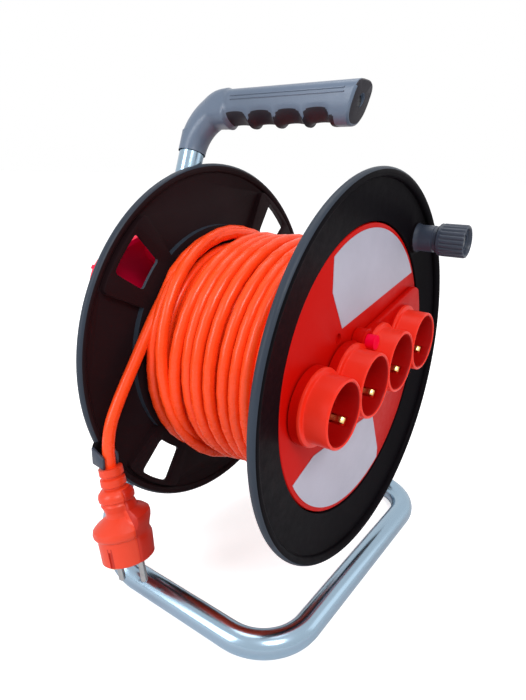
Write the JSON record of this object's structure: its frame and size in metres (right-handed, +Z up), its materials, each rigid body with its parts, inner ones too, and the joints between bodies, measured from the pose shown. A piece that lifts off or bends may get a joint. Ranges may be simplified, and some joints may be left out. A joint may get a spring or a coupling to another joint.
{
  "type": "extension cord reel",
  "caption": "Cable reel with a turning drum on a bent tube frame, a round socket panel, a carrying grip, a crank knob and a plug clipped to the rim.",
  "frame": {"origin": "on the floor, under the middle of the reel's bounding box (measured without the cord and plug)", "axes": "+Z up, the drum axis along Y, the sockets face -Y"},
  "size_m": [0.2916, 0.224, 0.3615],
  "materials": {
    "tube": "bright zinc-plated and polished, with soft streaks along the tube",
    "black_plastic": "matt moulded",
    "grip_plastic": "slate blue-grey, satin moulded",
    "zinc_steel": "zinc-plated",
    "crimson_plastic": "crimson, semi-gloss moulded",
    "flange_plastic": "near black, satin moulded",
    "panel_plastic": "deep red-orange, semi-gloss moulded",
    "brass": "bare stamped brass",
    "white_plastic": "ceramic-look white",
    "label_film": "printed film, blank",
    "knob_plastic": "dark blue-grey, satin",
    "cable_sheath": "bright orange sheath, slightly glossy",
    "plug_rubber": "coral orange, soft moulded",
    "nickel_brass": "nickel-plated pins"
  },
  "bodies": {
    "frame": {"frame_post": "tube", "frame_foot": "tube", "frame_base": "tube", "tube_end_cap": "black_plastic", "tube_plug": "black_plastic", "handle_grip": "grip_plastic", "grip_screw": "zinc_steel", "rear_carrier": "crimson_plastic", "carrier_bolts": "zinc_steel", "rivet_nuts": "brass", "axle_screw": "zinc_steel", "axle_washer": "zinc_steel", "axle_nut": "zinc_steel"},
    "drum": {"rear_flange": "flange_plastic", "drum_core": "flange_plastic", "rear_flange_screws": "zinc_steel", "front_flange": "flange_plastic", "front_flange_screws": "zinc_steel", "socket_panel": "panel_plastic", "panel_screws": "zinc_steel", "contact_carrier": "black_plastic", "live_rail": "brass", "neutral_rail": "brass", "earth_rail": "brass", "terminal_block": "white_plastic", "inner_cable": "cable_sheath", "cable_gland": "black_plastic", "thermal_cutout": "black_plastic", "label_top": "label_film", "label_bottom": "label_film", "crank_post": "knob_plastic", "crank_pin": "zinc_steel", "plug_clip": "black_plastic", "cable_winding": "cable_sheath", "cable_tail": "cable_sheath", "plug_body": "plug_rubber", "plug_pins": "nickel_brass", "plug_earth_contacts": "brass"},
    "knob": {"crank_knob": "knob_plastic"},
    "button": {"reset_button": "crimson_plastic"}
  },
  "joints": [
    {"name": "drum_spin", "type": "hinge", "parent": "frame", "child": "drum", "pos_m": [0, 0, 0.17], "axis": [0, 1, 0], "continuous": true, "deforming": ["cable_tail", "plug_body", "plug_pins", "plug_earth_contacts"]},
    {"name": "knob_spin", "type": "hinge", "parent": "drum", "child": "knob", "pos_m": [0.07722, -0.101, 0.25883], "axis": [0, 1, 0], "continuous": true},
    {"name": "reset_press", "type": "slide", "parent": "drum", "child": "button", "axis": [0, 1, 0], "range_m": [0, 0.0025], "stiffness_N_per_m": 400}
  ]
}
